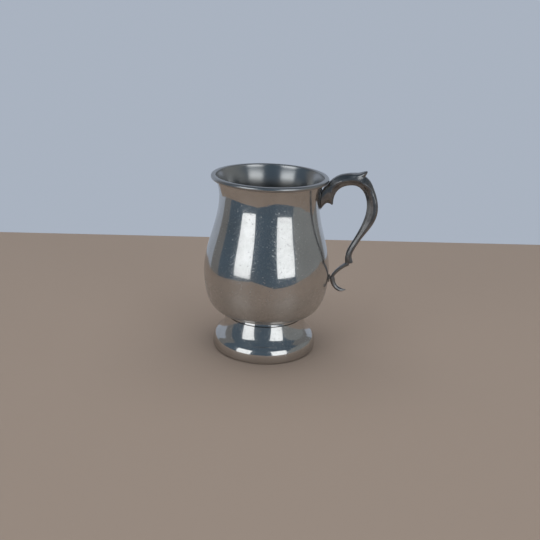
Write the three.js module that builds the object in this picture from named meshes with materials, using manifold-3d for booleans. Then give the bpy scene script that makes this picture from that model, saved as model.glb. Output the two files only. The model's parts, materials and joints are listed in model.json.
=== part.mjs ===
// Footed pewter tankard with a cast scroll handle. Millimetres, +Z up, handle towards +X.
import * as THREE from 'three';
import Module from 'manifold-3d';

const wasm = await Module();
wasm.setup();

// Facets
const TURNED_SIDES = 48;
const CURVE_STEPS = 8;
const FLARE_STEPS = 4;
const LIP_STEPS = 6;
const EASE_STEPS = 3;
const FOOT_STEPS = 6;
const EDGE_STEPS = 4;
const FILLET_STEPS = 5;
const SCROLL_STEPS = 48;
const STRUT_STEPS = 12;
const HOOK_STEPS = 16;
const PAD_SIDES = 16;
const HALVINGS = 30;

// Fits
const JOINT_GAP = 0.3;
const SOLDER = 0.6;

// Foot: a spun pedestal, open beneath, with a collar that carries the cup
const FOOT_RADIUS = 40.2;
const FOOT_WALL = 1.6;
const FOOT_EDGE_HEIGHT = 2.6;
const FOOT_EDGE_EASE = 1.9;
const FOOT_RING_WIDTH = 2.6;
const FOOT_FULLNESS = 6.8;
const LEDGE_RADIUS = 36.4;
const LEDGE_HEIGHT = 12.6;
const LEDGE_DEGREES = 40;
const LEDGE_SWEEP = 2.6;
const COVE_SWEEP = 3.6;
const NECK_RADIUS = 29.8;
const NECK_RISE = 13.2;
const NECK_TAPER = 1.8;
const NECK_EASE = 8.4;
const COLLAR_STEP = 3;
const COLLAR_HEIGHT = 5.4;
const FILLET_SETBACK = 0.9;
const FILLET_LEAN = 0.6;
const FILLET_FLARE = 1.6;

// Cup: one spun sheet with a rolled lip
const CUP_HEIGHT = 104.5;
const CUP_WALL = 1.5;
const CUP_BOTTOM_RADIUS = 36.5;
const BOTTOM_ROUND = 3;
const BELLY_RADIUS = 48.1;
const BELLY_RISE = 31;
const BELLY_FULLNESS = 24;
const BELLY_SWEEP = 19.6;
const WAIST_RADIUS = 37.4;
const WAIST_DROP = 16;
const WAIST_SWEEP = 21.6;
const FLARE_SWEEP = 6.5;
const LIP_FLARE = 6.4;
const LIP_ROLL = 1.7;
const LIP_CURL_DEGREES = 130;
const LIP_WIDTH = 3.7;
const LIP_EASE = 1.2;

// Handle: bracket on the waist
const BRACKET_DROP = 9.5;
const BRACKET_HEIGHT = 14;
const BRACKET_RISE = 6.7;
const BRACKET_WIDTH = 8.4;
const SCALLOP_RISE = 5;
const BRACKET_LAP = 1.6;
const LIP_CLEARANCE = 0.6;

// Handle: arm, scroll and leaf
const SCROLL_REACH = 36.4;
const SCROLL_HEIGHT = 69.5;
const CREST_RISE = 4.4;
const CUSP_DEPTH = 1.2;
const ARM_DEPTH = 8.6;
const SHOULDER_DEPTH = 7.3;
const BACK_DEPTH = 8;
const BAR_DEPTH = 4.3;
const KNUCKLE_DEPTH = 5.6;
const LEAF_WIDTH = 11.4;
const BACK_WIDTH = 7.6;
const BAR_WIDTH = 5;
const LEAF_TIP_LENGTH = 13;
const LEAF_TIP_RISE = 2;
const LEAF_TIP_DEPTH = 4.2;

// Handle: strut and hooked tail on the belly
const LOWER_SEAT_DROP = 4.5;
const STRUT_DEPTH = 2.6;
const STRUT_END_DEPTH = 1.9;
const TAIL_DEPTH = 3.4;
const TAIL_WIDTH = 4.2;
const HOOK_DROP = 9.1;
const HOOK_REACH = 10.7;
const TIP_SIZE = 0.8;

// Solder seats of the handle
const PAD_MARGIN = 0.9;
const LOWER_PAD_HEIGHT = 6.4;

const neckHeight = LEDGE_HEIGHT + NECK_RISE;
const footHeight = neckHeight + COLLAR_HEIGHT;
const cupBottom = footHeight + JOINT_GAP;
const rimHeight = cupBottom + CUP_HEIGHT;
const bellyHeight = cupBottom + BELLY_RISE;
const waistHeight = rimHeight - WAIST_DROP;
const lipRadius = WAIST_RADIUS + LIP_FLARE;
const seatDepth = SOLDER + 2 * JOINT_GAP;

const v2 = (x, z) => new THREE.Vector2(x, z);
const mix = THREE.MathUtils.lerp;

function arc(x, z, radius, from, to, steps) {
  const turn = THREE.MathUtils.degToRad;
  return new THREE.EllipseCurve(x, z, radius, radius, turn(from), turn(to), to < from).getPoints(steps);
}

// Revolves a profile of (radius, height) points about the tankard's axis
function turned(profile) {
  return new THREE.LatheGeometry(profile, TURNED_SIDES).rotateX(Math.PI / 2);
}

// A profile moved sideways by a sheet's thickness, to the left of its direction
function offsetPoints(curve, distance, steps) {
  return curve.getPoints(steps).map((point, i) => {
    const along = curve.getTangent(i / steps);
    return v2(point.x - along.y * distance, point.y + along.x * distance);
  });
}

// Skin over a row of closed sections, with a fan over each end
function loft(rings) {
  const count = rings[0].length;
  const points = rings.flat();
  const index = [];
  for (let k = 0; k + 1 < rings.length; k += 1) {
    for (let i = 0; i < count; i += 1) {
      const a = k * count + i;
      const b = k * count + ((i + 1) % count);
      index.push(a, b, b + count, a, b + count, a + count);
    }
  }
  const ends = [[rings[0], 0, true], [rings.at(-1), (rings.length - 1) * count, false]];
  for (const [ring, first, start] of ends) {
    const hub = points.length;
    points.push(ring.reduce((sum, p) => sum.add(p), new THREE.Vector3()).divideScalar(count));
    for (let i = 0; i < count; i += 1) {
      const a = first + i;
      const b = first + ((i + 1) % count);
      index.push(...(start ? [hub, b, a] : [hub, a, b]));
    }
  }
  const geometry = new THREE.BufferGeometry().setFromPoints(points);
  geometry.setIndex(index);
  return geometry;
}

// Joins closed shells that run into each other into one body
function fused(geometries) {
  const solids = geometries.map((geometry) => new wasm.Manifold(new wasm.Mesh({
    numProp: 3,
    vertProperties: new Float32Array(geometry.attributes.position.array),
    triVerts: new Uint32Array(geometry.index.array),
  })));
  const mesh = solids.reduce((whole, solid) => whole.add(solid)).getMesh();
  const geometry = new THREE.BufferGeometry();
  geometry.setAttribute('position', new THREE.BufferAttribute(mesh.vertProperties, 3));
  geometry.setIndex(new THREE.BufferAttribute(mesh.triVerts, 1));
  return geometry;
}

// Outside of the cup, in three curves: bowl, swelling and flare
const underLip = arc(lipRadius - LIP_ROLL, rimHeight - LIP_ROLL, LIP_ROLL, -LIP_CURL_DEGREES, 90, LIP_STEPS);
const bowl = new THREE.CubicBezierCurve(
  v2(CUP_BOTTOM_RADIUS, cupBottom),
  v2(CUP_BOTTOM_RADIUS + BOTTOM_ROUND, cupBottom),
  v2(BELLY_RADIUS, bellyHeight - BELLY_FULLNESS),
  v2(BELLY_RADIUS, bellyHeight),
);
const swelling = new THREE.CubicBezierCurve(
  v2(BELLY_RADIUS, bellyHeight),
  v2(BELLY_RADIUS, bellyHeight + BELLY_SWEEP),
  v2(WAIST_RADIUS, waistHeight - WAIST_SWEEP),
  v2(WAIST_RADIUS, waistHeight),
);
const flare = new THREE.QuadraticBezierCurve(
  v2(WAIST_RADIUS, waistHeight),
  v2(WAIST_RADIUS, waistHeight + FLARE_SWEEP),
  underLip[0],
);

// Radius of the cup's outside at a height between its bottom and its lip
function cupRadius(z) {
  const curve = [bowl, swelling, flare].find((part) => z < part.getPoint(1).y);
  let low = 0;
  let high = 1;
  for (let i = 0; i < HALVINGS; i += 1) {
    const middle = (low + high) / 2;
    if (curve.getPoint(middle).y < z) {
      low = middle;
    } else {
      high = middle;
    }
  }
  return curve.getPoint(low).x;
}

// A point beside the cup: y across the handle, z up, and a distance off the cup's surface
function besideCup(y, z, distance) {
  const radius = cupRadius(z) + distance;
  return new THREE.Vector3(Math.sqrt(radius * radius - y * y), y, z);
}

function cupGeometry() {
  const inside = (curve, steps) => offsetPoints(curve, CUP_WALL, steps).reverse();
  const innerLip = arc(lipRadius - LIP_WIDTH + LIP_EASE, rimHeight - LIP_EASE, LIP_EASE, 90, 180, EASE_STEPS);
  return turned([
    v2(0, cupBottom),
    ...bowl.getPoints(CURVE_STEPS),
    ...swelling.getPoints(CURVE_STEPS).slice(1),
    ...flare.getPoints(FLARE_STEPS).slice(1),
    ...underLip.slice(1),
    ...innerLip,
    ...inside(flare, FLARE_STEPS),
    ...inside(swelling, CURVE_STEPS).slice(1),
    ...inside(bowl, CURVE_STEPS).slice(1),
    v2(0, cupBottom + CUP_WALL),
  ]);
}

function footGeometry() {
  const edge = new THREE.QuadraticBezierCurve(
    v2(FOOT_RADIUS - FOOT_EDGE_EASE, 0),
    v2(FOOT_RADIUS, 0),
    v2(FOOT_RADIUS, FOOT_EDGE_HEIGHT),
  );
  const turn = v2(LEDGE_RADIUS, LEDGE_HEIGHT);
  const pitch = THREE.MathUtils.degToRad(LEDGE_DEGREES);
  const slope = v2(-Math.cos(pitch), Math.sin(pitch));
  const shoulder = new THREE.CubicBezierCurve(
    v2(FOOT_RADIUS, FOOT_EDGE_HEIGHT),
    v2(FOOT_RADIUS, FOOT_EDGE_HEIGHT + FOOT_FULLNESS),
    turn.clone().addScaledVector(slope, -LEDGE_SWEEP),
    turn,
  );
  const neck = new THREE.CubicBezierCurve(
    turn,
    turn.clone().addScaledVector(slope, COVE_SWEEP),
    v2(NECK_RADIUS + NECK_TAPER, neckHeight - NECK_EASE),
    v2(NECK_RADIUS, neckHeight),
  );
  const inside = (curve) => offsetPoints(curve, FOOT_WALL, FOOT_STEPS).reverse();
  const ringInner = FOOT_RADIUS - FOOT_EDGE_EASE - FOOT_RING_WIDTH;
  const collarRadius = NECK_RADIUS - COLLAR_STEP;
  return turned([
    ...edge.getPoints(EDGE_STEPS),
    ...shoulder.getPoints(FOOT_STEPS).slice(1),
    ...neck.getPoints(FOOT_STEPS).slice(1),
    v2(collarRadius, neckHeight),
    v2(collarRadius, footHeight),
    v2(collarRadius - FOOT_WALL, footHeight),
    v2(collarRadius - FOOT_WALL, neckHeight - FOOT_WALL),
    v2(NECK_RADIUS - FOOT_WALL, neckHeight - FOOT_WALL),
    ...inside(neck).slice(1),
    ...inside(shoulder).slice(1),
    v2(ringInner, FOOT_EDGE_HEIGHT),
    v2(ringInner, 0),
    v2(FOOT_RADIUS - FOOT_EDGE_EASE, 0),
  ]);
}

// Solder round the collar: a leaning band that stands on the foot's neck and runs out under the cup
function filletGeometry() {
  const inner = NECK_RADIUS - COLLAR_STEP + JOINT_GAP;
  const face = NECK_RADIUS - FILLET_SETBACK;
  const band = new THREE.CubicBezierCurve(
    v2(face, neckHeight + JOINT_GAP),
    v2(face - FILLET_LEAN, mix(neckHeight, footHeight, 0.6)),
    v2(face - 2 * FILLET_LEAN, footHeight - JOINT_GAP),
    v2(NECK_RADIUS + FILLET_FLARE, footHeight),
  );
  return turned([
    v2(inner, neckHeight + JOINT_GAP),
    ...band.getPoints(FILLET_STEPS),
    v2(inner, footHeight),
    v2(inner, neckHeight + JOINT_GAP),
  ]);
}

// Half sections of the handle from its inner to its outer side: share of the depth, share of the half width
const LEAF_SECTION = [[0, 0.3], [0.36, 0.5], [0.43, 0.97], [0.56, 1], [1, 0.4]];
const BAR_SECTION = [[0, 0.3], [0.22, 0.74], [0.6, 1], [0.86, 0.95], [1, 0.55]];

// A closed section between an inner and an outer point of the side view
function section(inner, outer, width, leaf) {
  const half = BAR_SECTION.map(([depth, reach], i) => {
    const share = mix(depth, LEAF_SECTION[i][0], leaf);
    const y = (mix(reach, LEAF_SECTION[i][1], leaf) * width) / 2;
    return new THREE.Vector3(mix(inner.x, outer.x, share), y, mix(inner.y, outer.y, share));
  });
  const mirrored = half.map((p) => new THREE.Vector3(p.x, -p.y, p.z)).reverse();
  return [...half, ...mirrored];
}

// The form at a share of a path, eased between stations of [share, depth, width, leaf]
function formAt(stations, t) {
  const next = Math.max(1, stations.findIndex(([share]) => share >= t));
  const from = stations[next - 1];
  const to = stations[next];
  const ease = THREE.MathUtils.smoothstep(t, from[0], to[0]);
  return from.map((value, i) => mix(value, to[i], ease));
}

// Skin along a path of the side view, which is the bar's inner side, or its middle where centred
function barAlong(path, stations, steps, centred) {
  return loft(Array.from({ length: steps + 1 }, (_, k) => {
    const t = k / steps;
    const along = path.getTangent(t);
    const inward = v2(along.y, -along.x);
    const [, depth, width, leaf] = formAt(stations, t);
    const inner = path.getPoint(t).addScaledVector(inward, centred ? depth / 2 : 0);
    const outer = inner.clone().addScaledVector(inward, -depth);
    return section(inner, outer, width, leaf);
  }));
}

const bracketTop = rimHeight - BRACKET_DROP;
const bracketBottom = bracketTop - BRACKET_HEIGHT;
const bracketMiddle = (bracketTop + bracketBottom) / 2;
const seatX = cupRadius(bracketMiddle) + seatDepth;
const lipPass = lipRadius + LIP_CLEARANCE;
const crestHeight = rimHeight + CREST_RISE;
const lowerSeat = bellyHeight - LOWER_SEAT_DROP;
const tailX = cupRadius(lowerSeat) + seatDepth + TAIL_DEPTH / 2;

// A place on the scroll's inner side: shares of its reach beyond the lip and of its height above the knuckle
const archReach = SCROLL_REACH - BACK_DEPTH;
const archHeight = SCROLL_HEIGHT - ARM_DEPTH;
const archTop = crestHeight - ARM_DEPTH;
const scrollPoint = (x, z) => v2(lipPass + x * archReach, archTop + (z - 1) * archHeight);
const knuckle = scrollPoint(0.637, -0.005);

// Bracket: a scalloped web whose first section lies along the waist
function bracketGeometry() {
  const rows = [
    [0, 0, 0],
    [0.18, 0.38, 0.25],
    [0.42, 0.82, 0.55],
    [0.61, 1, 0.76],
    [0.86, 0.92, 0.95],
    [1, 0.86, 1],
  ];
  const rings = rows.map(([x, scallop, rise]) => {
    const reach = mix(seatX, lipPass + BRACKET_LAP, x);
    const low = v2(reach, bracketBottom + scallop * SCALLOP_RISE);
    const high = v2(reach, bracketTop + rise * BRACKET_RISE);
    return section(low, high, BRACKET_WIDTH, 0);
  });
  rings[0] = rings[0].map((p) => besideCup(p.y, p.z, seatDepth));
  return loft(rings);
}

// Arm and scroll: the inner side from the bracket's cusp under the crest and down the back to the knuckle
function scrollGeometry() {
  const cusp = scrollPoint(0.109, 0.745);
  const crest = scrollPoint(0.602, 1);
  const back = scrollPoint(1, 0.72);
  const bar = scrollPoint(0.63, 0.233);
  const end = scrollPoint(0.549, 0);
  const side = new THREE.CurvePath();
  side.add(new THREE.CubicBezierCurve(cusp, scrollPoint(0.085, 0.92), scrollPoint(0.3, 1), crest));
  side.add(new THREE.CubicBezierCurve(crest, scrollPoint(0.83, 1), scrollPoint(1, 0.88), back));
  side.add(new THREE.CubicBezierCurve(back, scrollPoint(1, 0.56), scrollPoint(0.8, 0.385), bar));
  side.add(new THREE.CubicBezierCurve(bar, scrollPoint(0.555, 0.165), scrollPoint(0.515, 0.09), end));
  return barAlong(side, [
    [0, CUSP_DEPTH, BRACKET_WIDTH * 0.4, 0],
    [0.13, ARM_DEPTH, BRACKET_WIDTH, 0.8],
    [0.23, ARM_DEPTH, LEAF_WIDTH, 1],
    [0.31, ARM_DEPTH, LEAF_WIDTH, 1],
    [0.39, SHOULDER_DEPTH, BACK_WIDTH, 0.2],
    [0.52, BACK_DEPTH, BACK_WIDTH, 0],
    [0.78, BAR_DEPTH, BAR_WIDTH, 0],
    [0.92, BAR_DEPTH, BAR_WIDTH, 0],
    [1, KNUCKLE_DEPTH, BAR_WIDTH, 0],
  ], SCROLL_STEPS, false);
}

// Leaf tip: the end of the leaf, which leaves the arm's crest and flicks up to a thick blunt beak
function leafTipGeometry() {
  const root = scrollPoint(0.48, 1).x;
  const rows = [
    [0, 0, 1, 0.6],
    [0.35, 0, 1, 0.9],
    [0.55, 0.08, 1, 0.85],
    [0.75, 0.5, 1, 0.65],
    [0.88, 0.84, 0.95, 0.42],
    [0.95, 0.95, 0.55, 0.28],
    [1, 1, 0.25, 0.14],
  ];
  return loft(rows.map(([along, rise, depth, width]) => {
    const high = v2(root + along * LEAF_TIP_LENGTH, crestHeight + rise * LEAF_TIP_RISE);
    const low = v2(high.x, high.y - depth * LEAF_TIP_DEPTH);
    return section(low, high, width * LEAF_WIDTH, 0);
  }));
}

// Strut: a short bar from the head of the hook out to the knuckle
function strutGeometry() {
  const point = (x, z) => v2(mix(tailX, knuckle.x, x), mix(lowerSeat, knuckle.y, z));
  const path = new THREE.CubicBezierCurve(point(-0.06, -0.05), point(0, 0.35), point(0.58, 0.82), point(1, 1.01));
  return barAlong(path, [
    [0, STRUT_END_DEPTH, TAIL_WIDTH, 0],
    [1, STRUT_DEPTH, TAIL_WIDTH, 0],
  ], STRUT_STEPS, true);
}

// Hook: a sickle from its head on the belly down and out to the tip, skinned from the tip
function hookGeometry() {
  const point = (x, z) => v2(tailX + x * HOOK_REACH, lowerSeat - z * HOOK_DROP);
  const path = new THREE.CubicBezierCurve(point(1, 0.945), point(0.45, 1.15), point(0.02, 0.6), point(0, -0.12));
  return barAlong(path, [
    [0, TIP_SIZE, TAIL_WIDTH * 0.2, 0],
    [0.3, TAIL_DEPTH * 0.8, TAIL_WIDTH * 0.8, 0],
    [1, TAIL_DEPTH, TAIL_WIDTH, 0],
  ], HOOK_STEPS, true);
}

// An oval of solder that follows the cup's surface
function solderPad(height, halfHeight, halfWidth) {
  const ring = (share, distance) => Array.from({ length: PAD_SIDES }, (_, i) => {
    const angle = (2 * Math.PI * i) / PAD_SIDES;
    const y = share * halfWidth * Math.cos(angle);
    const z = height + share * halfHeight * Math.sin(angle);
    return besideCup(y, z, distance);
  });
  return loft([
    ring(0.5, JOINT_GAP),
    ring(1, JOINT_GAP),
    ring(1, JOINT_GAP + SOLDER / 3),
    ring(0.8, JOINT_GAP + SOLDER),
    ring(0.4, JOINT_GAP + SOLDER),
  ]);
}

const POLISHED = { color: 0xb4b3b1, roughness: 0.16, metalness: 1 };
const CAST = { color: 0x85837f, roughness: 0.38, metalness: 1 };
const SOLDERED = { color: 0x9a9893, roughness: 0.3, metalness: 1 };

function piece(name, geometry, look) {
  geometry.computeVertexNormals();
  const mesh = new THREE.Mesh(geometry, new THREE.MeshStandardMaterial(look));
  mesh.name = name;
  return mesh;
}

const handle = fused([
  bracketGeometry(), scrollGeometry(), leafTipGeometry(), strutGeometry(), hookGeometry(),
]);
const upperPad = solderPad(bracketMiddle, BRACKET_HEIGHT / 2 + PAD_MARGIN, BRACKET_WIDTH / 2 + PAD_MARGIN);
const lowerPad = solderPad(lowerSeat, LOWER_PAD_HEIGHT / 2, TAIL_WIDTH / 2 + PAD_MARGIN);

const tankard = new THREE.Group();
tankard.add(
  piece('body', cupGeometry(), POLISHED),
  piece('foot', footGeometry(), POLISHED),
  piece('foot_solder', filletGeometry(), POLISHED),
  piece('handle', handle, CAST),
  piece('handle_upper_solder', upperPad, SOLDERED),
  piece('handle_lower_solder', lowerPad, SOLDERED),
);

// The origin is on the table, midway along the tankard and its handle
const extent = new THREE.Box3().setFromObject(tankard);
tankard.position.x = -(extent.min.x + extent.max.x) / 2;

export default tankard;
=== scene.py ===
"""Footed pewter tankard: spun cup and foot, cast scroll handle, wiped solder, and a plain studio."""

import json
import math

import bmesh
import bpy
from bpy.props import FloatProperty, FloatVectorProperty, IntProperty, PointerProperty
from mathutils import Matrix, Vector, geometry

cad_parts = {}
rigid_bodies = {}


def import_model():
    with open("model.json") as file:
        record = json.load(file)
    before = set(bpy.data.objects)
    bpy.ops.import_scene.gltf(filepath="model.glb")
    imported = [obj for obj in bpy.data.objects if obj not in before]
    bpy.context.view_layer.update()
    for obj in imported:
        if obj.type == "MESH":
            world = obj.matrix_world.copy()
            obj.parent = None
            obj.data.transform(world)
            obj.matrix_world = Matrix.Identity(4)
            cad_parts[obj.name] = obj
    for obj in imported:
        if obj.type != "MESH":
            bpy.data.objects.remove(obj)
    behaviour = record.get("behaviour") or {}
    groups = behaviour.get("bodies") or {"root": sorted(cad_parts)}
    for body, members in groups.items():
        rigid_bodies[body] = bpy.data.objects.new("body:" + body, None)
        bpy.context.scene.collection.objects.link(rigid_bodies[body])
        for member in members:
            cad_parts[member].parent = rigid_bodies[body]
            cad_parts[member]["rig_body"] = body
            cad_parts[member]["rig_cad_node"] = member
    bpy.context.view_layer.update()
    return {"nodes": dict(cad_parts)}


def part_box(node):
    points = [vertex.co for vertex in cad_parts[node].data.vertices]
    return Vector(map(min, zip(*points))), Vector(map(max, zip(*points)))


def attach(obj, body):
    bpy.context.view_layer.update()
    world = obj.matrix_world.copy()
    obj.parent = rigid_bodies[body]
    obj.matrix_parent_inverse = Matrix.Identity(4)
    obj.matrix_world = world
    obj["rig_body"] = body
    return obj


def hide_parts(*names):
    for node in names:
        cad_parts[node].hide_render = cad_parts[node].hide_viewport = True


bl_info = {
    "name": "Pewter tankard",
    "version": (1, 0, 0),
    "blender": (4, 5, 0),
    "location": "3D View > Sidebar > Tankard",
    "description": "Models a footed pewter tankard over its packed solids and sets a studio round it",
    "category": "Object",
}

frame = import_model()
CUP_LOW, CUP_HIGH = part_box("body")
AXIS_X = (CUP_LOW.x + CUP_HIGH.x) / 2
MM = 0.001


def length(name, description, millimetres):
    """A size of the tankard that a user may change, in metres."""
    size = millimetres * MM
    return FloatProperty(name=name, description=description, default=size, unit="LENGTH", precision=5)


def angle(name, description, degrees):
    """An angle that a user may change, in radians."""
    turn = math.radians(degrees)
    return FloatProperty(name=name, description=description, default=turn, subtype="ANGLE")


def colour(name, description, value):
    """A colour that a user may change."""
    kind = {"subtype": "COLOR", "min": 0, "max": 1}
    return FloatVectorProperty(name=name, description=description, default=value, **kind)


def amount(name, description, value):
    """A plain number that a user may change."""
    return FloatProperty(name=name, description=description, default=value)


class TankardSizes(bpy.types.PropertyGroup):
    """Sizes of the spun pieces."""

    cup_bottom: length("Cup bottom", "Height of the cup's underside", CUP_LOW.z / MM)
    rim_height: length("Rim height", "Height of the top of the lip", CUP_HIGH.z / MM)
    cup_wall: length("Cup wall", "Thickness of the spun sheet", 1.5)
    cup_bottom_radius: length("Cup bottom radius", "Radius of the flat underside", 36.5)
    bottom_round: length("Bottom round", "Ease of the turn from the underside", 3)
    belly_radius: length("Belly radius", "Largest radius of the cup", 48.1)
    belly_rise: length("Belly rise", "Height of the belly above the underside", 31)
    belly_fullness: length("Belly fullness", "Roundness below the belly", 24)
    belly_sweep: length("Belly sweep", "Roundness above the belly", 19.6)
    waist_radius: length("Waist radius", "Smallest radius of the cup", 37.4)
    waist_drop: length("Waist drop", "Depth of the waist below the rim", 16)
    waist_sweep: length("Waist sweep", "Roundness below the waist", 21.6)
    flare_sweep: length("Flare sweep", "Roundness above the waist", 6.5)
    lip_flare: length("Lip flare", "Reach of the lip beyond the waist", 6.4)
    lip_roll: length("Lip roll", "Radius of the rolled lip", 1.7)
    lip_width: length("Lip width", "Width of the lip's top", 3.7)
    lip_ease: length("Lip ease", "Rounding of the lip's inner edge", 1.2)
    lip_wear: length("Lip wear", "Height of the lip's worn edge", 3.8)
    foot_radius: length("Foot radius", "Largest radius of the foot", 40.2)
    foot_wall: length("Foot wall", "Thickness of the foot", 1.6)
    foot_edge_height: length("Foot edge height", "Height of the foot's upright edge", 2.6)
    foot_edge_ease: length("Foot edge ease", "Rounding of the foot's lower edge", 1.9)
    foot_ring_width: length("Foot ring width", "Width of the ring that the foot stands on", 2.6)
    foot_fullness: length("Foot fullness", "Roundness above the foot's edge", 6.8)
    ledge_radius: length("Ledge radius", "Radius of the foot at the middle of its ledge", 36.4)
    ledge_height: length("Ledge height", "Height of the foot's ledge", 12.6)
    ledge_sweep: length("Ledge sweep", "Roundness outside the ledge", 2.6)
    cove_sweep: length("Cove sweep", "Roundness inside the ledge", 3.6)
    neck_radius: length("Neck radius", "Radius of the foot's neck at its top", 29.8)
    neck_rise: length("Neck rise", "Height of the neck above the ledge", 13.2)
    neck_taper: length("Neck taper", "Spread of the neck towards the cove", 1.8)
    neck_ease: length("Neck ease", "Length of the neck's straight end", 8.4)
    collar_step: length("Collar step", "Set-back of the collar from the neck", 3)
    joint_gap: length("Joint gap", "Gap on either side of the solder", 0.3)
    fillet_setback: length("Fillet set-back", "Set-back of the turned solder from the neck", 0.9)
    fillet_lean: length("Fillet lean", "Lean of the turned solder", 0.6)
    fillet_flare: length("Fillet flare", "Spread of the solder under the cup", 1.6)
    ledge_slope: angle("Ledge slope", "Slope of the foot's ledge", 40)
    lip_curl: angle("Lip curl", "How far the lip rolls under", 130)
    sides: IntProperty(name="Sides", description="Facets round each spun piece", default=180, min=24)
    grain: length("Casting grain", "Cell size of the cast handle's surface", 0.25)


class TankardFinishes(bpy.types.PropertyGroup):
    """Colours of the metals."""

    polished: colour("Polished pewter", "Bright outside of the cup and foot", (0.62, 0.605, 0.585))
    clouded: colour("Clouded pewter", "Handled patches of the outside", (0.5, 0.485, 0.46))
    satin: colour("Satin pewter", "Turned inside of the cup", (0.5, 0.5, 0.495))
    cast: colour("Cast pewter", "Rubbed metal of the handle", (0.38, 0.375, 0.37))
    patina: colour("Patina", "Dark skin in the hollows of the casting", (0.17, 0.165, 0.165))
    soldered: colour("Solder", "Dull wiped solder", (0.3, 0.295, 0.28))


class TankardStudio(bpy.types.PropertyGroup):
    """Floor, backdrop, lights and camera."""

    floor: colour("Floor", "Pale warm floor", (0.32, 0.245, 0.195))
    wall: colour("Backdrop", "Pale blue-grey backdrop", (0.4, 0.45, 0.53))
    room: colour("Room", "Dim side of the studio behind the camera", (0.09, 0.128, 0.17))
    side: colour("Side", "Grey side of the studio towards the handle", (0.255, 0.275, 0.285))
    corner: colour("Corner", "Grey corner of the studio away from the handle", (0.2, 0.205, 0.21))
    window: amount("Window", "Brightness of the two tall soft boxes", 1.42)
    ceiling: amount("Ceiling", "Brightness of the overhead light", 2.0)
    turn: angle("Turn", "Turn of the studio about the cup's axis", 4)


def bezier(points, steps):
    """Points along a cubic Bezier curve in the profile's plane."""
    flat = [Vector((x, y, 0)) for x, y in points]
    return [(p.x, p.y) for p in geometry.interpolate_bezier(*flat, steps + 1)]


def quadratic(points, steps):
    """Points along a quadratic Bezier curve, written as the cubic that it equals."""
    start, turn, end = [Vector(point) for point in points]
    return bezier([start, start + (turn - start) * 2 / 3, end + (turn - end) * 2 / 3, end], steps)


def arc(centre, radius, start, end, steps):
    """Points along a circular arc in the profile's plane."""
    turns = [start + (end - start) * i / steps for i in range(steps + 1)]
    return [(centre[0] + radius * math.cos(a), centre[1] + radius * math.sin(a)) for a in turns]


def offset(points, distance):
    """A profile moved to its left by the thickness of the sheet."""
    moved = []
    for i, (x, z) in enumerate(points):
        before = points[max(i - 1, 0)]
        after = points[min(i + 1, len(points) - 1)]
        along = Vector((after[0] - before[0], after[1] - before[1])).normalized()
        moved.append((x - along.y * distance, z + along.x * distance))
    return moved


def deselect_all():
    """Leaves object mode with nothing selected."""
    if bpy.context.mode != "OBJECT":
        bpy.ops.object.mode_set(mode="OBJECT")
    bpy.ops.object.select_all(action="DESELECT")


# Distances within which points merge, along a profile and at a spin's seam, and the angle of a hard edge
POINT_MERGE = 0.001 * MM
SEAM_MERGE = 0.002 * MM
HARD_EDGE = math.radians(35)


def spun(name, profile, sides):
    """Draws a profile of radius and height by extruding a plane's corner, and spins it round the axis."""
    deselect_all()
    bpy.ops.mesh.primitive_plane_add(size=MM)
    piece = bpy.context.object
    piece.name = name
    piece.data.name = name
    bpy.ops.object.mode_set(mode="EDIT")
    mesh = bmesh.from_edit_mesh(piece.data)
    mesh.verts.ensure_lookup_table()
    mesh.verts[0].select_set(False)
    mesh.select_flush_mode()
    bpy.ops.mesh.delete(type="VERT")
    bpy.ops.mesh.select_all(action="SELECT")
    start = Vector((AXIS_X + profile[0][0], 0, profile[0][1]))
    mesh = bmesh.from_edit_mesh(piece.data)
    mesh.verts.ensure_lookup_table()
    bpy.ops.transform.translate(value=start - mesh.verts[0].co)
    for (x0, z0), (x1, z1) in zip(profile, profile[1:]):
        move = {"value": (x1 - x0, 0, z1 - z0)}
        bpy.ops.mesh.extrude_region_move(TRANSFORM_OT_translate=move)
    bpy.ops.mesh.select_all(action="SELECT")
    bpy.ops.mesh.remove_doubles(threshold=POINT_MERGE)
    bpy.ops.mesh.spin(steps=sides, angle=2 * math.pi, center=(AXIS_X, 0, 0), axis=(0, 0, 1))
    bpy.ops.mesh.select_all(action="SELECT")
    bpy.ops.mesh.remove_doubles(threshold=SEAM_MERGE)
    bpy.ops.mesh.normals_make_consistent(inside=False)
    bpy.ops.object.mode_set(mode="OBJECT")
    bpy.ops.object.shade_smooth_by_angle(angle=HARD_EDGE)
    return piece


def finished(piece, material, slot, *nodes):
    """Gives a piece its metal and the solids that it stands for; the slot argument is not used."""
    piece.data.materials.append(material)
    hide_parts(*nodes)
    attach(piece, "root")


# Gloss across turning lines: turned by a quarter, so that it spreads up and down on a spun piece
QUARTER_TURN = 0.25
# Roughness and spread of the haze that fine scratches and polishing lines lay over a polish
WIDE_SHEEN = 0.42
WIDE_TURNING = 0.85
# Length, width and directions of the fine scratches, and the noise levels where one begins and is full
SCRATCH_LENGTH = 8 * MM
SCRATCH_WIDTH = 0.28 * MM
SCRATCH_TURNS = ((0.5, 0.2), (-0.7, -0.3), (1.1, 0.5), (-0.3, 1.3), (0.8, -1.2))
SCRATCH_LEVELS = (0.675, 0.755)
# Heights where the cup's dull lower bowl begins, is full, starts to fade and ends, and its ramp's length
BOWL_HEIGHTS = (28 * MM, 31 * MM, 50 * MM, 64 * MM)
BOWL_RAMP = 100 * MM
# Place, reach, pitch, depth and slant of the chased veins on the handle
VEIN_REACH = 75 * MM
VEIN_HEIGHT = 130 * MM
VEIN_SPREAD = 9 * MM
VEIN_PITCH = 2.4 * MM
VEIN_DEPTH = 0.06 * MM
VEIN_SLANT = math.radians(40)
# Length of one wave of a wave texture at a scale of 1
WAVE_LENGTH = math.pi / 10
# Dirt in the pits of the casting
PIT_COLOUR = (0.05, 0.05, 0.05)


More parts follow.
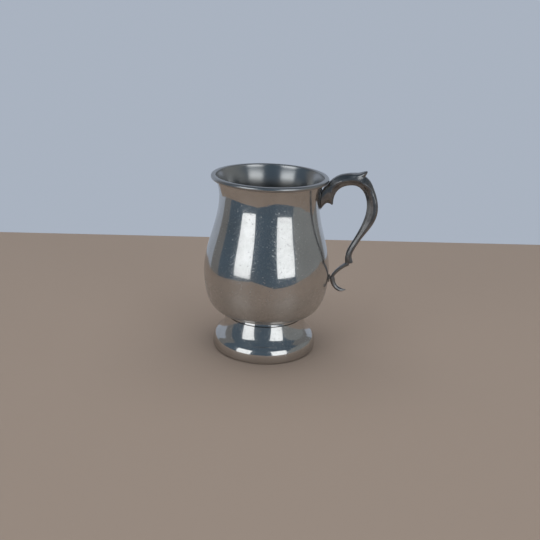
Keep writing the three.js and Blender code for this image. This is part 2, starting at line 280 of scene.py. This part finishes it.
class Sock:
    """A shader socket that takes part in Python sums."""

    def __init__(self, shader, socket):
        self.shader = shader
        self.socket = socket

    def sum(self, operation, first, second):
        """A Math node on two values."""
        return self.shader.node("ShaderNodeMath", {"operation": operation}, {0: first, 1: second})

    def __add__(self, other):
        return self.sum("ADD", self, other)

    def __radd__(self, other):
        return self.sum("ADD", other, self)

    def __sub__(self, other):
        return self.sum("SUBTRACT", self, other)

    def __rsub__(self, other):
        return self.sum("SUBTRACT", other, self)

    def __mul__(self, other):
        return self.sum("MULTIPLY", self, other)

    def __rmul__(self, other):
        return self.sum("MULTIPLY", other, self)

    def __truediv__(self, other):
        return self.sum("DIVIDE", self, other)


class Shader:
    """A material's nodes, written as calls."""

    def __init__(self, name, tree=None):
        if tree is None:
            self.material = bpy.data.materials.new(name)
            self.material.use_nodes = True
            tree = self.material.node_tree
        self.tree = tree
        self.tree.nodes.clear()

    def node(self, kind, settings=None, inputs=None, output=0):
        """Adds a node with its settings, its sockets' values or links, and gives one output."""
        made = self.tree.nodes.new(kind)
        for key, value in (settings or {}).items():
            if key == "stops":
                self.stops(made.color_ramp, value)
            else:
                setattr(made, key, value)
        for key, value in (inputs or {}).items():
            if isinstance(value, Sock):
                self.tree.links.new(value.socket, made.inputs[key])
            else:
                made.inputs[key].default_value = value
        return Sock(self, made.outputs[output]) if len(made.outputs) else made

    def stops(self, ramp, stops):
        """Sets a colour ramp's stops, each a place and a grey level."""
        while len(ramp.elements) < len(stops):
            ramp.elements.new(1)
        for element, (place, level) in zip(ramp.elements, stops):
            element.position = place
            element.color = (level, level, level, 1)

    def place(self, scale=(1, 1, 1), turn=(0, 0, 0)):
        """Object coordinates, scaled and turned."""
        where = self.node("ShaderNodeTexCoord", output="Object")
        return self.node("ShaderNodeMapping", None, {"Vector": where, "Rotation": turn, "Scale": scale})

    def noise(self, where, scale, detail=2.0, roughness=0.5):
        """Soft noise from 0 to 1."""
        inputs = {"Vector": where, "Scale": scale, "Detail": detail, "Roughness": roughness}
        return self.node("ShaderNodeTexNoise", None, inputs, "Fac")

    def ramp(self, value, *stops):
        """A value through a ramp of grey levels."""
        return self.node("ShaderNodeValToRGB", {"stops": stops}, {"Fac": value})

    def fade(self, value, start, end):
        """Rises from 0 where a value is at the start to 1 where it is at the end."""
        return self.ramp(value, (start, 0), (end, 1))

    def mix(self, share, first, second):
        """A colour between two colours."""
        settings = {"data_type": "RGBA"}
        inputs = {0: share, 6: rgba(first), 7: rgba(second)}
        return self.node("ShaderNodeMix", settings, inputs, 2)

    def bump(self, height, distance, normal=None):
        """A bumped normal."""
        inputs = {"Height": height, "Distance": distance}
        if normal:
            inputs["Normal"] = normal
        return self.node("ShaderNodeBump", None, inputs)

    def seen(self):
        """1 for what the camera sees, straight or in metal or glass."""
        kinds = ("Is Camera Ray", "Is Glossy Ray", "Is Transmission Ray")
        camera, glossy, through = [self.node("ShaderNodeLightPath", output=kind) for kind in kinds]
        return self.node("ShaderNodeClamp", None, {0: camera + glossy + through})

    def metal(self, base, roughness, normal, turning=0.0, sheen=None):
        """Ends the material in a bare metal, which may have gloss across turning lines or a wide sheen."""
        inputs = {"Metallic": 1.0, "Base Color": base, "Roughness": roughness, "Normal": normal}
        inputs.update({"Anisotropic": turning, "Anisotropic Rotation": QUARTER_TURN})
        surface = self.node("ShaderNodeBsdfPrincipled", None, inputs)
        if sheen:
            inputs.update({"Roughness": WIDE_SHEEN, "Anisotropic": WIDE_TURNING})
            wide = self.node("ShaderNodeBsdfPrincipled", None, inputs)
            surface = self.node("ShaderNodeMixShader", None, {0: sheen, 1: surface, 2: wide})
        self.node("ShaderNodeOutputMaterial", None, {"Surface": surface})
        return self.material


def rgba(value):
    """A colour socket's value: a link stays, and a plain colour gets its alpha."""
    return value if isinstance(value, Sock) else (*value, 1)


def scratches(shader):
    """Thin straight scuffs in several directions, each a slope and a bearing."""
    where = shader.node("ShaderNodeTexCoord", output="Object")
    grain = (SCRATCH_LENGTH, SCRATCH_WIDTH, SCRATCH_WIDTH)
    every = None
    for slope, bearing in SCRATCH_TURNS:
        along = {"Vector": where, "Rotation": (0, slope, bearing), "Scale": grain}
        place = shader.node("ShaderNodeMapping", {"vector_type": "TEXTURE"}, along)
        streak = shader.noise(place, 1.0, detail=2.0)
        line = shader.fade(streak, *SCRATCH_LEVELS)
        every = every + line if every else line
    return every


def spots(shader, cell, size, share):
    """Small round pits in some of the cells of a pattern."""
    where = shader.place()
    settings = {"feature": "F1"}
    inputs = {"Vector": where, "Scale": 1 / cell}
    distance = shader.node("ShaderNodeTexVoronoi", settings, inputs, "Distance")
    pick = shader.node("ShaderNodeTexVoronoi", settings, inputs, "Color")
    chosen = shader.ramp(pick, (share, 1), (share + 0.01, 0))
    return shader.ramp(distance, (size * 0.5, 1), (size, 0)) * chosen


def polished_pewter(looks):
    """Bright pewter with cloudy patches, fine scuffs, nicks and tiny dark pits, and a dull lower bowl."""
    shader = Shader("bright_pewter")
    cloud = shader.noise(shader.place(), 38.0, detail=4.0, roughness=0.6)
    haze = shader.fade(cloud, 0.38, 0.72)
    scuffs = scratches(shader)
    pits = spots(shader, cell=4.2 * MM, size=0.07, share=0.16)
    nicks = spots(shader, cell=1.4 * MM, size=0.3, share=0.2)
    base = shader.mix(haze * 0.7, looks.polished, looks.clouded)
    base = shader.mix(pits * 0.75, base, looks.patina)
    roughness = haze * 0.05 + scuffs * 0.05 + pits * 0.2 + 0.055
    wave = shader.noise(shader.place(), 60.0, detail=1.0)
    normal = shader.bump(wave, 0.04 * MM)
    normal = shader.bump(scuffs * -0.6 - pits * 2.0 - nicks * 2.0, 0.02 * MM, normal)
    height = shader.node("ShaderNodeSeparateXYZ", None, {"Vector": shader.place()}, "Z")
    stops = [level / BOWL_RAMP for level in BOWL_HEIGHTS]
    bowl = shader.ramp(height / BOWL_RAMP, *zip(stops, (0, 1, 1, 0)))
    blotches = shader.noise(shader.place(), 110.0, detail=7.0, roughness=0.75)
    mottle = shader.fade(blotches, 0.4, 0.65)
    sheen = scuffs * 0.35 + nicks * 0.5 + pits * 0.4 + haze * 0.1 + 0.04
    sheen = sheen + bowl * (mottle * 0.2 + 0.25)
    return shader.metal(base, roughness, normal, sheen=sheen)


def satin_pewter(looks):
    """Pewter with the fine rings that a turning tool leaves."""
    shader = Shader("turned_pewter")
    rings = shader.noise(shader.place(scale=(2, 2, 1400)), 1.0, detail=4.0, roughness=0.6)
    cloud = shader.noise(shader.place(), 45.0, detail=4.0)
    base = shader.mix(shader.fade(cloud, 0.35, 0.75), looks.satin, looks.clouded)
    roughness = cloud * 0.05 + rings * 0.05 + 0.24
    normal = shader.bump(rings, 0.003 * MM)
    return shader.metal(base, roughness, normal, turning=0.8)


def worn_pewter(looks):
    """Pewter dulled by many hands and lips."""
    shader = Shader("worn_pewter")
    cloud = shader.noise(shader.place(), 70.0, detail=4.0)
    base = shader.mix(cloud, looks.satin, looks.cast)
    return shader.metal(base, cloud * 0.1 + 0.24, shader.bump(cloud, 0.02 * MM))


def leaf_veins(shader):
    """Slanting chased lines on the shoulder of the handle, below the leaf's tip, that fade out all round."""
    where = shader.place()
    away = {0: where, 1: (AXIS_X + VEIN_REACH, 0, VEIN_HEIGHT)}
    distance = shader.node("ShaderNodeVectorMath", {"operation": "DISTANCE"}, away, "Value")
    near = shader.ramp(distance / VEIN_SPREAD, (0.6, 1), (1, 0))
    along = shader.place(turn=(0, VEIN_SLANT, 0))
    bands = {"Vector": along, "Scale": WAVE_LENGTH / VEIN_PITCH, "Distortion": 0.6}
    settings = {"wave_type": "BANDS", "bands_direction": "X"}
    return shader.node("ShaderNodeTexWave", settings, bands, "Fac") * near


def cast_pewter(looks):
    """Dull cast metal, dark in its hollows and rubbed bright along its edges, with casting pits."""
    shader = Shader("dull_casting")
    worn = shader.node("ShaderNodeNewGeometry", output="Pointiness")
    edges = shader.fade(worn, 0.49, 0.6)
    cloud = shader.noise(shader.place(), 130.0, detail=5.0, roughness=0.65)
    pits = spots(shader, cell=6 * MM, size=0.09, share=0.22)
    rub = shader.fade(edges * 0.2 + cloud * 0.9, 0.3, 0.75)
    base = shader.mix(rub, looks.patina, looks.cast)
    base = shader.mix(pits * 0.8, base, PIT_COLOUR)
    roughness = 0.38 - rub * 0.1 + pits * 0.2
    grain = shader.noise(shader.place(), 900.0, detail=3.0)
    normal = shader.bump(grain + cloud * 3.0 - pits * 16.0, 0.008 * MM)
    normal = shader.bump(leaf_veins(shader), VEIN_DEPTH, normal)
    return shader.metal(base, roughness, normal)


def wiped_solder(looks):
    """Dull solder with soft ripples."""
    shader = Shader("wiped_solder")
    cloud = shader.noise(shader.place(), 220.0, detail=4.0, roughness=0.6)
    base = shader.mix(cloud, looks.patina, looks.soldered)
    roughness = cloud * 0.2 + 0.25
    return shader.metal(base, roughness, shader.bump(cloud, 0.08 * MM))


# Steps of the profile's curves
BOWL_STEPS = 26
SWELL_STEPS = 34
FLARE_STEPS = 14
LIP_STEPS = 18
INNER_LIP_STEPS = 8
EDGE_STEPS = 12
SHOULDER_STEPS = 24
NECK_STEPS = 26
FILLET_STEPS = 18
# Places of the cup's metals in its list of materials
POLISHED, TURNED, WORN = range(3)
# How far a face of the cup points inwards to be its inside, and upwards to be its bed
INWARD = -0.3
UPWARD = 0.7
# Share of the fillet's height where its hollow is deepest
FILLET_HOLLOW = 0.58


def cup_curves(sizes):
    """Outer curves of the cup: bowl, swelling, flare and rolled lip."""
    belly = sizes.cup_bottom + sizes.belly_rise
    waist = sizes.rim_height - sizes.waist_drop
    roll = (sizes.waist_radius + sizes.lip_flare - sizes.lip_roll, sizes.rim_height - sizes.lip_roll)
    lip = arc(roll, sizes.lip_roll, -sizes.lip_curl, math.pi / 2, LIP_STEPS)
    bowl = bezier(
        [
            (sizes.cup_bottom_radius, sizes.cup_bottom),
            (sizes.cup_bottom_radius + sizes.bottom_round, sizes.cup_bottom),
            (sizes.belly_radius, belly - sizes.belly_fullness),
            (sizes.belly_radius, belly),
        ],
        BOWL_STEPS,
    )
    swelling = bezier(
        [
            (sizes.belly_radius, belly),
            (sizes.belly_radius, belly + sizes.belly_sweep),
            (sizes.waist_radius, waist - sizes.waist_sweep),
            (sizes.waist_radius, waist),
        ],
        SWELL_STEPS,
    )
    turn = (sizes.waist_radius, waist + sizes.flare_sweep)
    flare = quadratic([(sizes.waist_radius, waist), turn, lip[0]], FLARE_STEPS)
    return bowl, swelling, flare, lip


class TANKARD_OT_cup(bpy.types.Operator):
    """Spins the cup, one sheet from its flat bottom to its rolled lip"""

    bl_idname = "tankard.cup"
    bl_label = "Spin the cup"

    def execute(self, context):
        sizes = context.scene.tankard_sizes
        looks = context.scene.tankard_finishes
        bowl, swelling, flare, lip = cup_curves(sizes)
        wall = bowl + swelling[1:] + flare[1:]
        inside = offset(wall, sizes.cup_wall)[::-1]
        edge = sizes.waist_radius + sizes.lip_flare - sizes.lip_width
        ease = (edge + sizes.lip_ease, sizes.rim_height - sizes.lip_ease)
        inner_lip = arc(ease, sizes.lip_ease, math.pi / 2, math.pi, INNER_LIP_STEPS)
        bottom = (0, sizes.cup_bottom)
        floor = (0, sizes.cup_bottom + sizes.cup_wall)
        profile = [bottom, *wall, *lip[1:], *inner_lip, *inside, floor]
        cup = spun("cup", profile, sizes.sides)
        finished(cup, polished_pewter(looks), "polished_pewter", "body")
        cup.data.materials.append(satin_pewter(looks))
        cup.data.materials.append(worn_pewter(looks))
        for face in cup.data.polygons:
            outward = Vector((face.center.x - AXIS_X, face.center.y, 0)).normalized()
            hollow = face.normal.dot(outward) < INWARD and face.center.z < sizes.rim_height - sizes.lip_ease
            bed = face.normal.z > UPWARD and face.center.z < sizes.cup_bottom + sizes.belly_rise
            worn = face.center.z > sizes.rim_height - sizes.lip_wear and not hollow
            metal = TURNED if hollow or bed else POLISHED
            face.material_index = WORN if worn else metal
        return {"FINISHED"}


class TANKARD_OT_foot(bpy.types.Operator):
    """Spins the hollow pedestal foot with its collar"""

    bl_idname = "tankard.foot"
    bl_label = "Spin the foot"

    def execute(self, context):
        sizes = context.scene.tankard_sizes
        edge_start = (sizes.foot_radius - sizes.foot_edge_ease, 0)
        corner = (sizes.foot_radius, 0)
        edge_end = (sizes.foot_radius, sizes.foot_edge_height)
        edge = quadratic([edge_start, corner, edge_end], EDGE_STEPS)
        slope = Vector((-math.cos(sizes.ledge_slope), math.sin(sizes.ledge_slope)))
        turn = Vector((sizes.ledge_radius, sizes.ledge_height))
        neck_height = sizes.ledge_height + sizes.neck_rise
        collar_top = sizes.cup_bottom - sizes.joint_gap
        shoulder = bezier(
            [
                edge_end,
                (sizes.foot_radius, sizes.foot_edge_height + sizes.foot_fullness),
                turn - slope * sizes.ledge_sweep,
                turn,
            ],
            SHOULDER_STEPS,
        )
        neck = bezier(
            [
                turn,
                turn + slope * sizes.cove_sweep,
                (sizes.neck_radius + sizes.neck_taper, neck_height - sizes.neck_ease),
                (sizes.neck_radius, neck_height),
            ],
            NECK_STEPS,
        )
        collar = sizes.neck_radius - sizes.collar_step
        ring = sizes.foot_radius - sizes.foot_edge_ease - sizes.foot_ring_width
        inside = offset(shoulder + neck[1:], sizes.foot_wall)[::-1]
        profile = [
            *edge,
            *shoulder[1:],
            *neck[1:],
            (collar, neck_height),
            (collar, collar_top),
            (collar - sizes.foot_wall, collar_top),
            (collar - sizes.foot_wall, neck_height - sizes.foot_wall),
            (sizes.neck_radius - sizes.foot_wall, neck_height - sizes.foot_wall),
            *[point for point in inside if point[1] < neck_height - sizes.foot_wall],
            (ring, sizes.foot_edge_height),
            (ring, 0),
            edge_start,
        ]
        foot = spun("foot_spun", profile, sizes.sides)
        finished(foot, bpy.data.materials["bright_pewter"], "polished_pewter", "foot")
        return {"FINISHED"}


class TANKARD_OT_solder(bpy.types.Operator):
    """Wipes the solder: the fillet under the cup and the two seats of the handle"""

    bl_idname = "tankard.solder"
    bl_label = "Wipe the solder"

    def execute(self, context):
        sizes = context.scene.tankard_sizes
        metal = wiped_solder(context.scene.tankard_finishes)
        low = sizes.ledge_height + sizes.neck_rise + sizes.joint_gap
        high = sizes.cup_bottom - sizes.joint_gap
        inner = sizes.neck_radius - sizes.collar_step + sizes.joint_gap
        face = sizes.neck_radius - sizes.fillet_setback
        band = bezier(
            [
                (face, low),
                (face - sizes.fillet_lean, low + (high - low) * FILLET_HOLLOW),
                (face - 2 * sizes.fillet_lean, high - sizes.joint_gap),
                (sizes.neck_radius + sizes.fillet_flare, high),
            ],
            FILLET_STEPS,
        )
        profile = [(inner, low), *band, (inner, high), (inner, low)]
        fillet = spun("solder_fillet", profile, sizes.sides)
        finished(fillet, bpy.data.materials["bright_pewter"], "polished_pewter", "foot_solder")
        for node in ("handle_upper_solder", "handle_lower_solder"):
            seat = smoothed_copy(node, node + "_wiped", sizes.grain)
            finished(seat, metal, "solder", node)
        return {"FINISHED"}


# Strength of one round of softening, and the rounds for a casting and for the crease at the leaf's root
SOFTEN = 0.5
CASTING_ROUNDS = 4
CREASE_ROUNDS = 500


def smoothed_copy(node, name, grain):
    """A copy of a solid with its facets merged, remeshed to an even grain and softened like a casting."""
    deselect_all()
    solid = frame["nodes"][node]
    solid.select_set(True)
    bpy.context.view_layer.objects.active = solid
    bpy.ops.object.duplicate()
    piece = bpy.context.object
    piece.name = name
    piece.data.name = name
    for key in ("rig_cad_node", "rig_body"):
        del piece[key]
    piece.data.materials.clear()
    bpy.ops.object.mode_set(mode="EDIT")
    bpy.ops.mesh.select_all(action="SELECT")
    bpy.ops.mesh.remove_doubles(threshold=SEAM_MERGE)
    bpy.ops.object.mode_set(mode="OBJECT")
    remesh = piece.modifiers.new("even grain", "REMESH")
    remesh.mode = "VOXEL"
    remesh.voxel_size = grain
    soften = piece.modifiers.new("soften", "SMOOTH")
    soften.factor = SOFTEN
    soften.iterations = CASTING_ROUNDS
    keep = piece.modifiers.new("keep size", "DISPLACE")
    keep.strength = grain / 2
    keep.mid_level = 0
    for modifier in ("even grain", "soften", "keep size"):
        bpy.ops.object.modifier_apply(modifier=modifier)
    bpy.ops.object.shade_smooth()
    return piece


# Crease at the root of the leaf's tip: reach from the cup's axis and height of its two ends, and its width
CREASE_START = (58 * MM, 137 * MM)
CREASE_END = (65 * MM, 137 * MM)
CREASE_WIDTH = 5.2 * MM


def ease_crease(piece):
    """Eases the crease under the leaf's tip into the arm, as a chaser's tools do."""
    group = piece.vertex_groups.new(name="leaf crease")
    start = Vector(CREASE_START)
    along = Vector(CREASE_END) - start
    for vertex in piece.data.vertices:
        place = Vector((vertex.co.x - AXIS_X, vertex.co.z)) - start
        share = min(max(place.dot(along) / along.length_squared, 0), 1)
        away = (place - along * share).length / CREASE_WIDTH
        if away < 1:
            group.add([vertex.index], 1 - away, "REPLACE")
    ease = piece.modifiers.new("ease", "SMOOTH")
    ease.vertex_group = group.name
    ease.factor = SOFTEN
    ease.iterations = CREASE_ROUNDS
    bpy.ops.object.modifier_apply(modifier="ease")
    piece.vertex_groups.clear()


class TANKARD_OT_handle(bpy.types.Operator):
    """Casts the scroll handle with its leaf, cusps, knuckle and hooked tail"""

    bl_idname = "tankard.handle"
    bl_label = "Cast the handle"

    def execute(self, context):
        sizes = context.scene.tankard_sizes
        handle = smoothed_copy("handle", "scroll_handle", sizes.grain)
        ease_crease(handle)
        finished(handle, cast_pewter(context.scene.tankard_finishes), "cast_pewter", "handle")
        return {"FINISHED"}


# Corners of the floor round the cup's axis, in metres, from the back left on by the front to the back right
FLOOR_CORNERS = (
    (-0.31, 0.266),
    (-0.31, -0.17),
    (-0.2, -0.44),
    (-0.05, -0.36),
    (0.06, -0.24),
    (0.4, -0.21),
    (0.66, -0.02),
    (0.75, 0.326),
)


# Backdrop: left and right ends, distance behind the cup's axis, foot and top, in metres
WALL_LEFT = -2.0
WALL_RIGHT = 1.1
WALL_BACK = 1.1
WALL_FOOT = -1.2
WALL_TOP = 2.0
# Roughness of the floor and the backdrop
MATT = 0.9
# Tint of the lamps, and the height on the tankard that they face, in metres
LAMP_TINT = (0.95, 0.98, 1)
LAMP_AIM = 0.07
# Windows: bearing and rise from the cup in degrees, width and height in metres, and their distance
WINDOWS = {
    "left_window": (-43.3, 14.25, 0.89, 1.14),
    "right_window": (35.7, 15.5, 0.93, 1.07),
}
WINDOW_DISTANCE = 1.5
# Overhead lamp: rise in degrees, and distance before the cup's axis and size in metres
CEILING_RISE = 89
CEILING_DISTANCE = 0.03
CEILING_SIZE = 2.4
# Where the parts of the room begin and are full, from 0 in front or on the left to 1 behind or on the right
BACK_FADE = (0.86, 0.92)
SIDE_FADE = (0.9, 0.915)
CORNER_FADE = (0.54, 0.56)
# Camera: lens and sensor in millimetres, place round the cup's axis in metres, and angles in degrees
LENS = 49.8
SENSOR = 36
CAMERA_PLACE = (0, -0.5436, 0.2531)
CAMERA_YAW = -0.29
CAMERA_PITCH = 19.43
CAMERA_ROLL = 2.4


def studio_matrix(turn):
    """Turns the studio about the cup's axis."""
    return Matrix.Translation((AXIS_X, 0, 0)) @ Matrix.Rotation(turn, 4, "Z")


def sheet(name, corners, base, lit=False):
    """A flat stage sheet with a matt colour of its own, or one that shows its colour as it is written."""
    deselect_all()
    bpy.ops.mesh.primitive_circle_add(vertices=len(corners), fill_type="NGON")
    piece = bpy.context.object
    piece.name = name
    for vertex, corner in zip(piece.data.vertices, corners):
        vertex.co = corner
    shader = Shader(name)
    surface = shader.node("ShaderNodeBsdfPrincipled", None, {"Base Color": rgba(base), "Roughness": MATT})
    if lit:
        glow = shader.node("ShaderNodeEmission", None, {"Color": rgba(base), "Strength": 1.0})
        seen = shader.seen()
        surface = shader.node("ShaderNodeMixShader", None, {0: seen, 1: surface, 2: glow})
    shader.node("ShaderNodeOutputMaterial", None, {"Surface": surface})
    piece.data.materials.append(shader.material)
    return piece


def soft_box(name, matrix, bearing, rise, distance, width, height, radiance):
    """A rectangular lamp that faces the tankard."""
    azimuth = math.radians(bearing)
    elevation = math.radians(rise)
    deselect_all()
    bpy.ops.object.light_add(type="AREA")
    lamp = bpy.context.object
    lamp.name = name
    lamp.data.shape = "RECTANGLE"
    lamp.data.size = width
    lamp.data.size_y = height
    lamp.data.energy = radiance * math.pi * width * height
    lamp.data.color = LAMP_TINT
    away = Vector((math.sin(azimuth), -math.cos(azimuth), math.tan(elevation)))
    place = matrix @ (away * distance + Vector((0, 0, LAMP_AIM)))
    facing = (matrix.to_3x3() @ away).to_track_quat("Z", "Y")
    lamp.matrix_world = Matrix.Translation(place) @ facing.to_matrix().to_4x4()
    lamp.visible_camera = False
    return lamp


class TANKARD_OT_studio(bpy.types.Operator):
    """Sets the floor, the backdrop, the lights and the camera"""

    bl_idname = "tankard.studio"
    bl_label = "Set the studio"

    def execute(self, context):
        scene = context.scene
        studio = scene.tankard_studio
        turned = studio_matrix(studio.turn)
        sheet("floor", [turned @ Vector((x, y, 0)) for x, y in FLOOR_CORNERS], studio.floor)
        low = ((WALL_LEFT, WALL_FOOT), (WALL_RIGHT, WALL_FOOT))
        high = ((WALL_RIGHT, WALL_TOP), (WALL_LEFT, WALL_TOP))
        wall = [turned @ Vector((x, WALL_BACK, z)) for x, z in low + high]
        sheet("backdrop", wall, studio.wall, lit=True)
        for name, (bearing, rise, width, height) in WINDOWS.items():
            soft_box(name, turned, bearing, rise, WINDOW_DISTANCE, width, height, studio.window)
        size = CEILING_SIZE
        overhead = soft_box("ceiling", turned, 0, CEILING_RISE, CEILING_DISTANCE, size, size, studio.ceiling)
        overhead.visible_glossy = False
        self.world(scene, studio)
        self.camera(scene, turned)
        scene.view_settings.view_transform = "Standard"
        return {"FINISHED"}

    def world(self, scene, studio):
        """A dim room in front, with a grey side towards the handle, grey corners behind and a pale back."""
        world = bpy.data.worlds.new("studio")
        world.use_nodes = True
        scene.world = world
        shader = Shader("studio", world.node_tree)
        toward = shader.node("ShaderNodeTexCoord", output="Generated")
        facing = {"Vector": toward, "Rotation": (0, 0, -studio.turn)}
        toward = shader.node("ShaderNodeMapping", None, facing)
        x, y = [shader.node("ShaderNodeSeparateXYZ", None, {"Vector": toward}, axis) for axis in "XY"]
        back = shader.fade(y * 0.5 + 0.5, *BACK_FADE)
        side = shader.fade(x * 0.5 + 0.5, *SIDE_FADE)
        corner = shader.fade(y * 0.5 + 0.5, *CORNER_FADE)
        tone = shader.mix(corner, studio.room, studio.corner)
        tone = shader.mix(side, tone, studio.side)
        tone = shader.mix(back, tone, studio.wall)
        path = shader.node("ShaderNodeLightPath", output="Is Camera Ray")
        tone = shader.mix(path, tone, studio.wall)
        light = shader.node("ShaderNodeBackground", None, {"Color": tone, "Strength": 1.0})
        shader.node("ShaderNodeOutputWorld", None, {"Surface": light})

    def camera(self, scene, turned):
        """A camera at the photograph's place, with its slight tilt."""
        deselect_all()
        bpy.ops.object.camera_add()
        camera = bpy.context.object
        camera.name = "camera"
        camera.data.lens = LENS
        camera.data.sensor_width = SENSOR
        yaw = math.radians(CAMERA_YAW)
        pitch = math.radians(CAMERA_PITCH)
        roll = math.radians(CAMERA_ROLL)
        across = Vector((1, 0, 0))
        up = Vector((0, math.sin(pitch), math.cos(pitch)))
        right = across * math.cos(roll) + up * math.sin(roll)
        top = up * math.cos(roll) - across * math.sin(roll)
        back = Vector((0, -math.cos(pitch), math.sin(pitch)))
        aim = Matrix((right, top, back)).transposed()
        aim = Matrix.Rotation(yaw, 3, "Z") @ aim
        place = turned @ Vector(CAMERA_PLACE)
        camera.matrix_world = Matrix.Translation(place) @ (turned.to_3x3() @ aim).to_4x4()
        scene.camera = camera


class TANKARD_PT_panel(bpy.types.Panel):
    """Lists the tankard's steps"""

    bl_idname = "TANKARD_PT_panel"
    bl_label = "Tankard"
    bl_space_type = "VIEW_3D"
    bl_region_type = "UI"
    bl_category = "Tankard"

    def draw(self, context):
        for step in STEPS:
            self.layout.operator(step.bl_idname)


STEPS = (
    TANKARD_OT_cup,
    TANKARD_OT_foot,
    TANKARD_OT_solder,
    TANKARD_OT_handle,
    TANKARD_OT_studio,
)
GROUPS = {
    "tankard_sizes": TankardSizes,
    "tankard_finishes": TankardFinishes,
    "tankard_studio": TankardStudio,
}


def register():
    """Registers the sizes, the steps and the panel."""
    for group in GROUPS.values():
        bpy.utils.register_class(group)
    for name, group in GROUPS.items():
        setattr(bpy.types.Scene, name, PointerProperty(type=group))
    for step in STEPS:
        bpy.utils.register_class(step)
    bpy.utils.register_class(TANKARD_PT_panel)


def unregister():
    """Takes the panel, the steps and the sizes away again."""
    bpy.utils.unregister_class(TANKARD_PT_panel)
    for step in reversed(STEPS):
        bpy.utils.unregister_class(step)
    for name in GROUPS:
        delattr(bpy.types.Scene, name)
    for group in reversed(GROUPS.values()):
        bpy.utils.unregister_class(group)


def main():
    """Models the tankard step by step."""
    register()
    bpy.ops.tankard.cup()
    bpy.ops.tankard.foot()
    bpy.ops.tankard.solder()
    bpy.ops.tankard.handle()
    bpy.ops.tankard.studio()
    bpy.context.view_layer.update()


if __name__ == "__main__":
    main()
